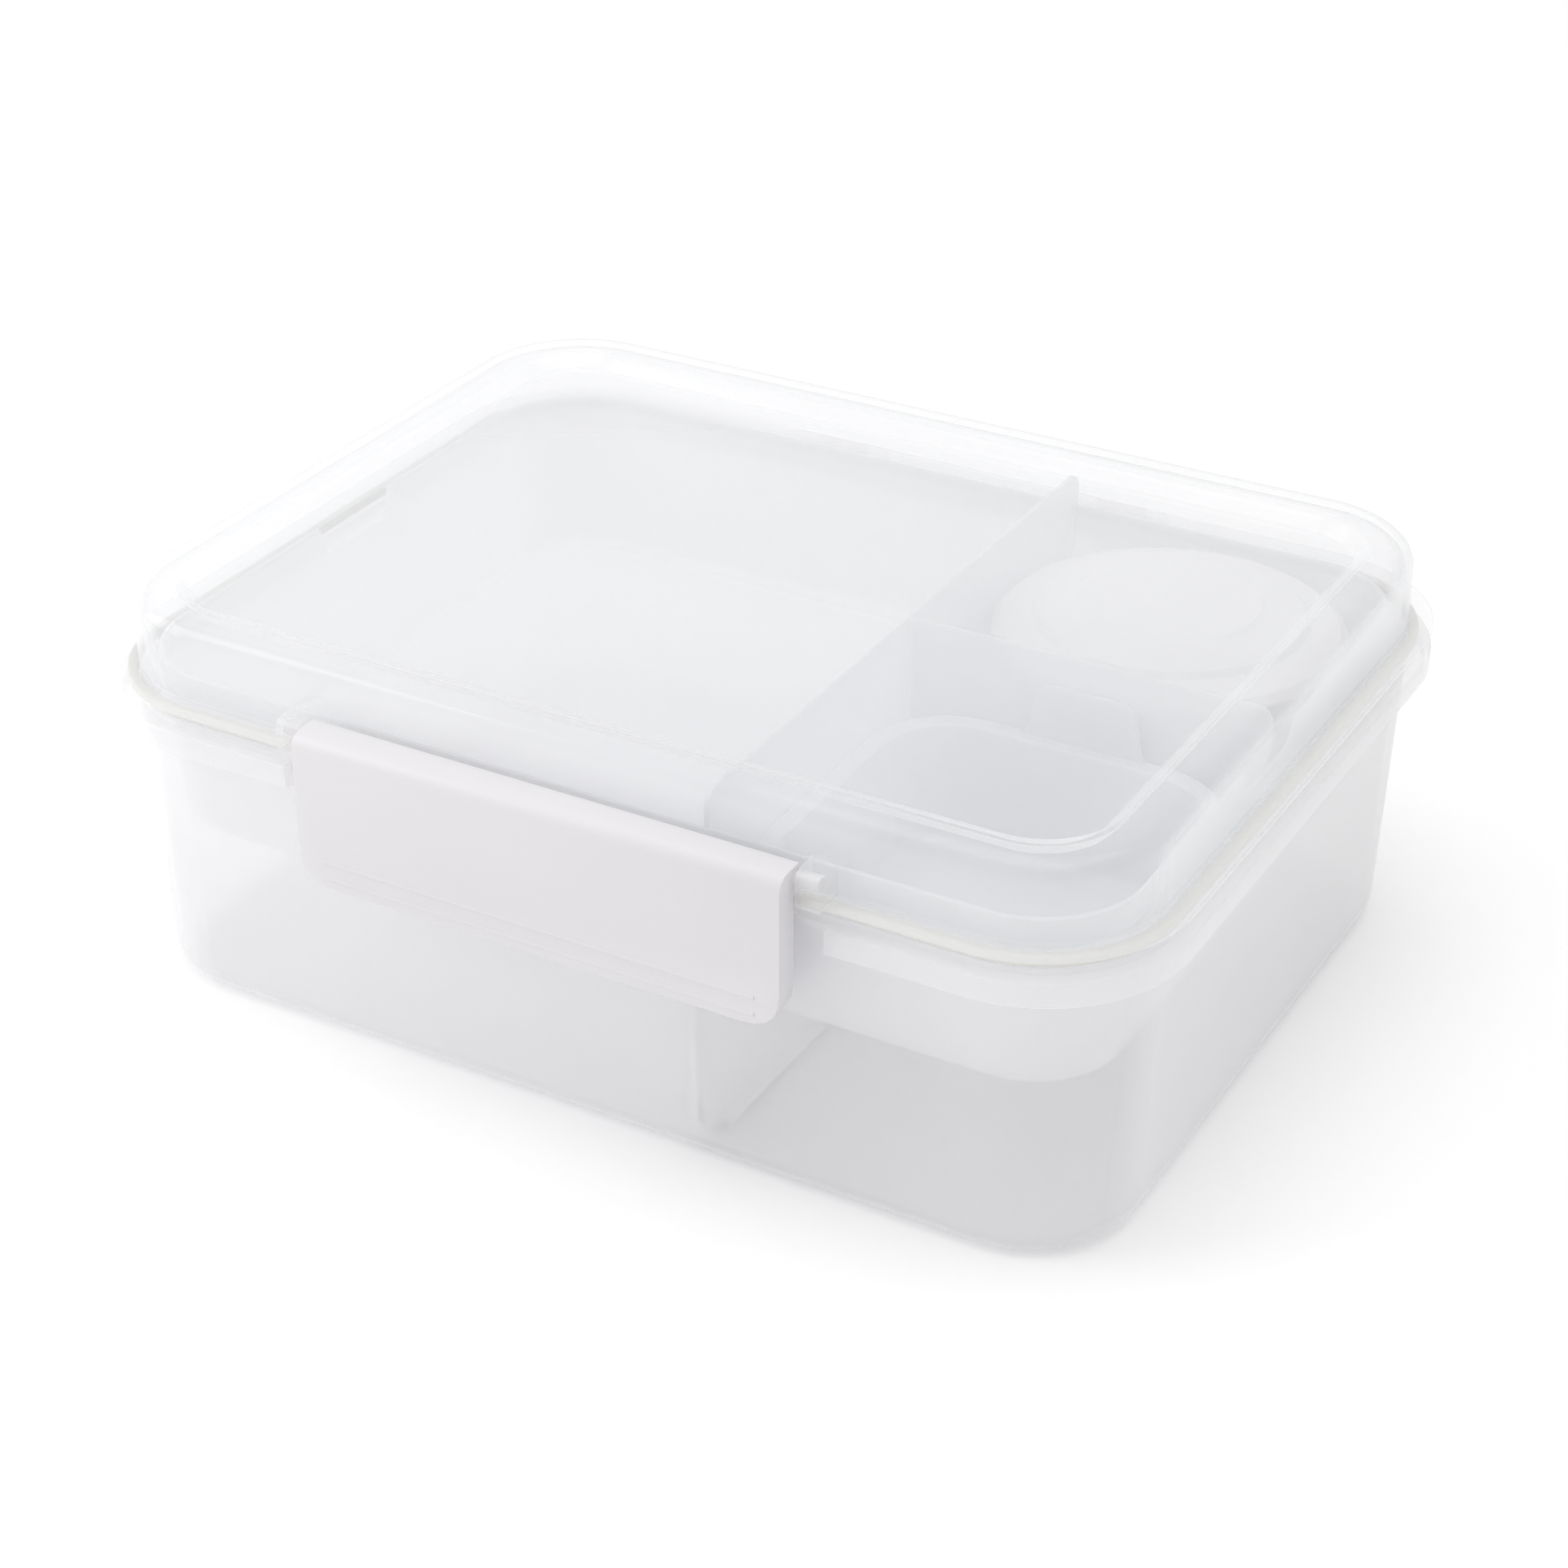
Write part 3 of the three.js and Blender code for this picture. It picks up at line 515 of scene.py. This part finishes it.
def lid():
    crest, panel = PARTING + 16.6, PARTING + 13.2
    piece = loft("lid_shell", WALL, [
        (-17, panel - PLASTIC, 0), (-12.2, panel - PLASTIC, 1.5), (-9.8, crest - PLASTIC, 1.5),
        (-1.9, crest - PLASTIC, 6.5), (-1.9, PARTING - 2.8, 0.3), (-0.4, PARTING - 2.8, 0.3),
        (-0.4, PARTING - 0.3, 0.2), (RIM_OUT, PARTING - 0.3, 0.3), (RIM_OUT, PARTING + 0.6, 0.3),
        (-0.4, PARTING + 0.6, 0.5), (-0.4, crest, 8), (-9.6, crest, 2.2),
        (-12.8, panel, 2), (-17, panel, 0),
    ])
    combine(piece, [bay_block(2.2, PARTING - 1.3, PARTING + 1.6)], "DIFFERENCE")
    gate = [(-4.6, panel - 0.5, 0), (-0.6, panel - 0.5, 0), (-1, panel + 1.2, 0.4), (-4.2, panel + 1.2, 0.4)]
    combine(piece, [slab("gate", gate, -WALL_Y + 10.8, -WALL_Y + 12.8, "y")], "UNION")
    for end in (-1, 1):
        combine(piece, [boss(end)], "UNION")
        combine(piece, [boss_bore(end)], "DIFFERENCE")
        combine(piece, hinge_arms(end), "UNION")
    return finish_piece(piece, "lid", "lid", CLEAR)


def hinge_arms(side):
    root, rim = WALL_Y + 3.2, WALL_Y + RIM_OUT
    outline = [(root, PARTING - 0.3, 0), *knuckle_arc(-180, 60),
               (rim, PARTING + 0.6, 0.5), (root, PARTING + 0.6, 0)]
    inner, outer = LUG_INNER - GAP, LUG_OUTER + GAP
    arms = []
    for near, far in ((inner - ARM_WIDTH, inner), (outer, outer + ARM_WIDTH)):
        stations = sorted([side * near, side * far])
        arms.append(soften(slab("arm", outline, *stations, "x"), 0.3, 2))
    for near, far in ((inner - 1, LUG_INNER + 3), (LUG_OUTER - 3, outer + 1)):
        stations = sorted([side * near, side * far])
        arms.append(rod("lid_pin", *stations, HINGE.y, HINGE.z, 1.5))
    return arms


def boss(end):
    root = -(WALL_Y - PLASTIC)
    front = PIVOT.y - 2.6
    low, top = PARTING - 0.3, PIVOT.z + 2.6
    outline = [(root, low, 0), (front, low, 0.4), (front, top, 2.2), (root, top + 0.8, 0)]
    stations = sorted([end * (CLIP_HALF + 1), end * BAY_HALF])
    return soften(slab("boss", outline, *stations, "x"), 0.4, 2)


def rod(name, low, high, y, z, radius):
    steps = 24
    rings = []
    for x in (low, high):
        angles = [2 * math.pi * k / steps for k in range(steps)]
        rings.append([(x, y + radius * math.cos(a), z + radius * math.sin(a)) for a in angles])
    return stack_rings(name, rings)


def boss_bore(end):
    low, high = sorted([end * CLIP_HALF, end * (BAY_HALF - 0.8)])
    return rod("bore", low, high, PIVOT.y, PIVOT.z, 1.8)


def seal():
    low, high = node_box("lid_seal")
    profile = [(-0.1, low.z, 0.3), (1.9, low.z, 0.4), (1.9, high.z, 0.4), (-0.1, high.z, 0.3)]
    piece = loft("seal_ring", WALL, profile, closed=True)
    return finish_piece(piece, "lid", "lid_seal", SILICONE)


# ------------------------------------------------------------------ clip

def clip_section(inset, back):
    """The clip from the side: back of the top, over the shoulder and down the face."""
    face, top, low = CLIP_FACE + inset, CLIP_HIGH.z - inset, CLIP_LOW.z - 1
    shoulder = 4 - inset
    return [(back, top, 0), (face, top, shoulder), (face, low, 0), (back, low, 0)]


def clip_front(inset, low, high):
    half, bottom, top = CLIP_HALF - inset, CLIP_LOW.z + inset, CLIP_HIGH.z + 1
    radius = 8 - inset
    outline = [(half, top, 0), (-half, top, 0), (-half, bottom, radius), (half, bottom, radius)]
    return slab("clip_front", outline, low, high, "y")


def clip():
    piece = slab("clip_body", clip_section(0, CLIP_BACK), -CLIP_HALF, CLIP_HALF, "x")
    combine(piece, [clip_front(0, CLIP_FACE - 2, CLIP_BACK + 2)], "INTERSECT")
    hollow = slab("hollow", clip_section(1.8, CLIP_BACK + 3), -CLIP_HALF + 1.6, CLIP_HALF - 1.6, "x")
    combine(hollow, [clip_front(1.7, CLIP_FACE - 2, CLIP_BACK + 4)], "INTERSECT")
    combine(piece, [hollow, clip_relief()], "DIFFERENCE")
    soften(piece, 0.45)
    combine(piece, [clip_hook(), *clip_ridges()], "UNION")
    combine(piece, [clip_pin(-1), clip_pin(1)], "UNION")
    return finish_piece(piece, "front_clip", "front_clip", CLIP)


def clip_relief():
    """Takes the back of the end walls off below the hinge, where the rim of the base passes."""
    edge, back = -(WALL_Y + 4.6), CLIP_BACK + 2
    top, bottom = PIVOT.z - 3, CLIP_LOW.z - 2
    outline = [(edge, bottom, 0), (back, bottom, 0), (back, top, 0), (edge, top, 1)]
    return slab("relief", outline, -CLIP_HALF - 2, CLIP_HALF + 2, "x")


def clip_hook():
    root, tip = CLIP_FACE + 0.9, CATCH_FACE - GAP
    low, high = PARTING - 12.5, PARTING - 7.2
    outline = [(root, high, 0), (root, low - 1, 0), (tip, low + 1, 0.6), (tip, high - 1, 0.6)]
    return slab("hook", outline, -46, 46, "x")


def clip_ridges():
    ridges = []
    for height in (PARTING - 19.6, PARTING - 23.2):
        outline = [(CLIP_FACE + 0.4, height - 0.9, 0), (CLIP_FACE + 0.4, height + 0.9, 0),
                   (CLIP_FACE - 0.45, height, 0.6)]
        ridges.append(slab("ridge", outline, -48, 48, "x"))
    return ridges


def clip_pin(end):
    low, high = sorted([end * (CLIP_HALF - 1.6), end * (BAY_HALF - 1.1)])
    return rod("pin", low, high, PIVOT.y, PIVOT.z, 1.5)


# ------------------------------------------------------------------ stage, light and camera

FLOOR_HALF = 4000
FLOOR_DROP = 0.2                         # keeps the floor clear of the box's underside
CAMERA_PLACE = (0.292824, -0.516988, 0.378222)           # metres
CAMERA_TURNED, CAMERA_RAISED = 29.46, 30.12              # degrees
CAMERA_LENS = 74.71

def stage():
    corners = [(x * FLOOR_HALF, y * FLOOR_HALF, 0) for x, y in ((-1, -1), (1, -1), (1, 1), (-1, 1))]
    floor = mesh_object("floor", corners, [(0, 1, 2, 3)])
    material = bpy.data.materials.new("floor")
    material.use_nodes = True
    shader = material.node_tree.nodes["Principled BSDF"]
    shader.inputs["Base Color"].default_value = (1, 1, 1, 1)
    shader.inputs["Roughness"].default_value = 1
    shader.inputs["Specular IOR Level"].default_value = 0
    floor.data.materials.append(material)
    floor.location.z = -FLOOR_DROP * MM


def area_light(name, place, size, power):
    light = bpy.data.lights.new(name, "AREA")
    light.size = size
    light.energy = power
    lamp = bpy.data.objects.new(name, light)
    lamp.location = place
    lamp.rotation_euler = (Vector((0, 0, 0.04)) - Vector(place)).to_track_quat("-Z", "Y").to_euler()
    bpy.context.scene.collection.objects.link(lamp)


def lights():
    world = bpy.data.worlds.new("studio")
    world.use_nodes = True
    world.node_tree.nodes["Background"].inputs["Color"].default_value = (1, 1, 1, 1)
    world.node_tree.nodes["Background"].inputs["Strength"].default_value = 0.745
    bpy.context.scene.world = world
    area_light("key", (-1.0, -0.5, 0.6), 0.9, 4.6)
    area_light("top", (0.1, 0, 1.4), 1.4, 7)


def camera():
    data = bpy.data.cameras.new("camera")
    data.lens = CAMERA_LENS
    data.sensor_width = 36
    turned, raised = math.radians(CAMERA_TURNED), math.radians(CAMERA_RAISED)
    level = Vector((math.sin(turned), -math.cos(turned), 0)) * math.cos(raised)
    back = level + Vector((0, 0, math.sin(raised)))
    right = Vector((math.cos(turned), math.sin(turned), 0))
    up = back.cross(right)
    camera_object = bpy.data.objects.new("camera", data)
    rotation = Matrix((right, up, back)).transposed().to_4x4()
    camera_object.matrix_world = Matrix.Translation(CAMERA_PLACE) @ rotation
    bpy.context.scene.collection.objects.link(camera_object)
    bpy.context.scene.camera = camera_object


stage()
lights()
camera()
bpy.context.scene.view_settings.view_transform = "Standard"
bpy.context.scene.cycles.transparent_max_bounces = 40      # a line of sight crosses many thin walls
bpy.context.scene.cycles.max_bounces = 16
bpy.context.scene.cycles.diffuse_bounces = 12              # and light inside the box crosses them too

base()
divider()
tray()
cup()
pot()
pot_lid()
lid()
seal()
clip()
